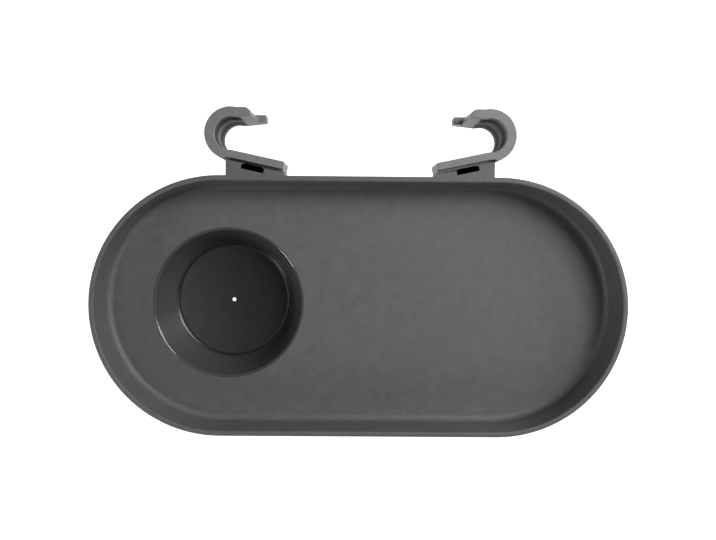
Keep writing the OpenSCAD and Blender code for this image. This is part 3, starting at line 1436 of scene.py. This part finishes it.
@dataclass(frozen=True)
class SoftBox:
    """A square softbox that looks at the tray's middle.

    Args:
        name: Name of the lamp.
        azimuth: Direction that it stands in, in degrees anticlockwise from +X.
        elevation: Its height above the level, in degrees.
        distance: Its distance, in metres.
        size: Its side, in metres.
        power: Its power, in watts.
    """

    name: str
    azimuth: float
    elevation: float
    distance: float
    size: float
    power: float

    def build(self, target: Vector) -> None:
        """Hangs the lamp.

        Args:
            target: The place that it looks at, in metres.
        """
        azimuth, elevation = math.radians(self.azimuth), math.radians(self.elevation)
        direction = Vector((
            math.cos(elevation) * math.cos(azimuth),
            math.cos(elevation) * math.sin(azimuth),
            math.sin(elevation),
        ))
        lamp = bpy.data.lights.new(self.name, "AREA")
        lamp.shape = "SQUARE"
        lamp.size = self.size
        lamp.energy = self.power
        box = linked(bpy.data.objects.new(self.name, lamp))
        box.location = target + direction * self.distance
        box.rotation_euler = direction.to_track_quat("Z", "Y").to_euler()


@dataclass
class Studio:
    """Camera, lamps, world and floor.

    Args:
        camera_place: Place of the lens, in millimetres.
        tilt_x: Tilt of the camera about its own X, in degrees.
        tilt_y: Tilt about Y, in degrees.
        turn_z: Turn about the view's axis, in degrees.
        focal_pixels: Focal length in pixels of the picture.
        frame_pixels: Width of the picture in pixels.
        sensor: Width of the sensor, in millimetres.
        clip_start: Nearest distance that the camera sees, in metres.
        floor_drop: Distance from the rim down to the floor, in millimetres.
        floor_size: Side of the floor, in metres.
        floor_shade: Grey level of the floor's paint.
        floor_glow: How bright the floor looks to the camera.
        ambient: Strength of the room's light on the part.
        backdrop_rise: How steeply up a mirrored ray goes where the white backdrop ends.
        target: What the lamps look at, in metres.
        lamps: The lamps.
    """

    camera_place: Place = (-6.0, -59.8, 460.0)
    tilt_x: float = -2.84
    tilt_y: float = -0.60
    turn_z: float = 0.50
    focal_pixels: float = 751.8
    frame_pixels: int = 716
    sensor: float = 36.0
    clip_start: float = 0.01
    floor_drop: float = 600.0
    floor_size: float = 12.0
    floor_shade: float = 0.8
    floor_glow: float = 0.97
    ambient: float = 0.03
    backdrop_rise: tuple[float, float] = (0.25, 0.45)
    target: Vector = field(default_factory=lambda: Vector((0, -0.1058, -0.02)))
    lamps: tuple[SoftBox, ...] = (
        SoftBox("KeySoftBox", 34, 52, 1.1, 0.5, 8.0),
        SoftBox("LowKeySoftBox", 24, 25, 1.1, 0.3, 3.6),
        SoftBox("FillSoftBox", 213, 20, 1.1, 0.22, 3.7),
        SoftBox("SheenSoftBox", 199, 63, 1.1, 0.3, 0.75),
    )

    def build(self) -> None:
        """Makes everything that isn't the part."""
        self._camera()
        for lamp in self.lamps:
            lamp.build(self.target)
        self._world()
        self._floor()

    def _camera(self) -> None:
        """Places the camera where the photograph was taken from."""
        camera = bpy.data.cameras.new("Camera")
        camera.sensor_width = self.sensor
        camera.lens = self.focal_pixels * self.sensor / self.frame_pixels
        camera.clip_start = self.clip_start
        holder = linked(bpy.data.objects.new("Camera", camera))
        turn = (
            Matrix.Rotation(math.radians(self.turn_z), 4, "Z")
            @ Matrix.Rotation(math.radians(self.tilt_y), 4, "Y")
            @ Matrix.Rotation(math.radians(self.tilt_x), 4, "X")
        )
        holder.matrix_world = Matrix.Translation([value * MM for value in self.camera_place]) @ turn
        bpy.context.scene.camera = holder

    def _world(self) -> None:
        """A white backdrop for the camera, and a dim room for the part."""
        world = bpy.data.worlds.new("Studio")
        world.use_nodes = True
        bpy.context.scene.world = world
        graph = NodeGraph(world.node_tree)
        rays = graph.node("ShaderNodeLightPath")
        heading = graph.node("ShaderNodeTexCoord", None, None, "Generated")
        up = graph.node("ShaderNodeSeparateXYZ", None, {"Vector": heading}, "Z")
        backdrop = graph.mapped(up, *self.backdrop_rise, 1.0, 0.0)
        mirrored = rays.pick("Is Glossy Ray") | rays.pick("Is Transmission Ray")
        white = rays.pick("Is Camera Ray") | (mirrored * backdrop)
        strength = white + (1 - white) * self.ambient
        background = graph.node("ShaderNodeBackground", None, {"Color": (1, 1, 1, 1), "Strength": strength})
        graph.node("ShaderNodeOutputWorld", None, {"Surface": background})

    def _floor(self) -> None:
        """A pale floor far below the hanging tray, which keeps its shadow."""
        half = self.floor_size / 2
        mesh = bpy.data.meshes.new("Floor")
        corners = [(-half, -half, 0), (half, -half, 0), (half, half, 0), (-half, half, 0)]
        mesh.from_pydata(corners, [], [tuple(range(len(corners)))])
        floor = linked(bpy.data.objects.new("Floor", mesh))
        floor.location.z = -self.floor_drop * MM
        material = bpy.data.materials.new("PaleFloor")
        material.use_nodes = True
        graph = NodeGraph(material.node_tree)
        rays = graph.node("ShaderNodeLightPath")
        seen = rays.pick("Is Camera Ray") | rays.pick("Is Glossy Ray") | rays.pick("Is Transmission Ray")
        paint = graph.node("ShaderNodeBsdfDiffuse", None, {"Color": (*[self.floor_shade] * 3, 1)})
        glow = graph.node(
            "ShaderNodeEmission", None, {"Color": (1, 1, 1, 1), "Strength": seen * self.floor_glow},
        )
        surface = graph.node("ShaderNodeAddShader", None, {0: paint, 1: glow})
        graph.node("ShaderNodeOutputMaterial", None, {"Surface": surface})
        mesh.materials.append(material)


def report(piece: bpy.types.Object) -> None:
    """Logs a piece's size in faces."""
    LOG.info("%s: %d faces", piece.name, len(piece.data.polygons))


def main() -> None:
    """Builds the part over its frame, and the studio round it."""
    logging.basicConfig(level=logging.INFO, format="%(name)s: %(message)s")
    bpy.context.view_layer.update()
    bpy.context.scene.view_settings.view_transform = "Standard"
    Studio().build()

    tray_plastic, clip_plastic = TRAY_FINISH.build(), CLIP_FINISH.build()
    clips = Clips()
    tray = Tray(clips).build(tray_plastic)
    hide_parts("tray")
    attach(tray, "tray")
    report(tray)
    for side, node in ((-1, "left_clip"), (1, "right_clip")):
        clip = Clip(clips, side).build(clip_plastic)
        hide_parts(node)
        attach(clip, node)
        report(clip)


if __name__ == "__main__":
    main()
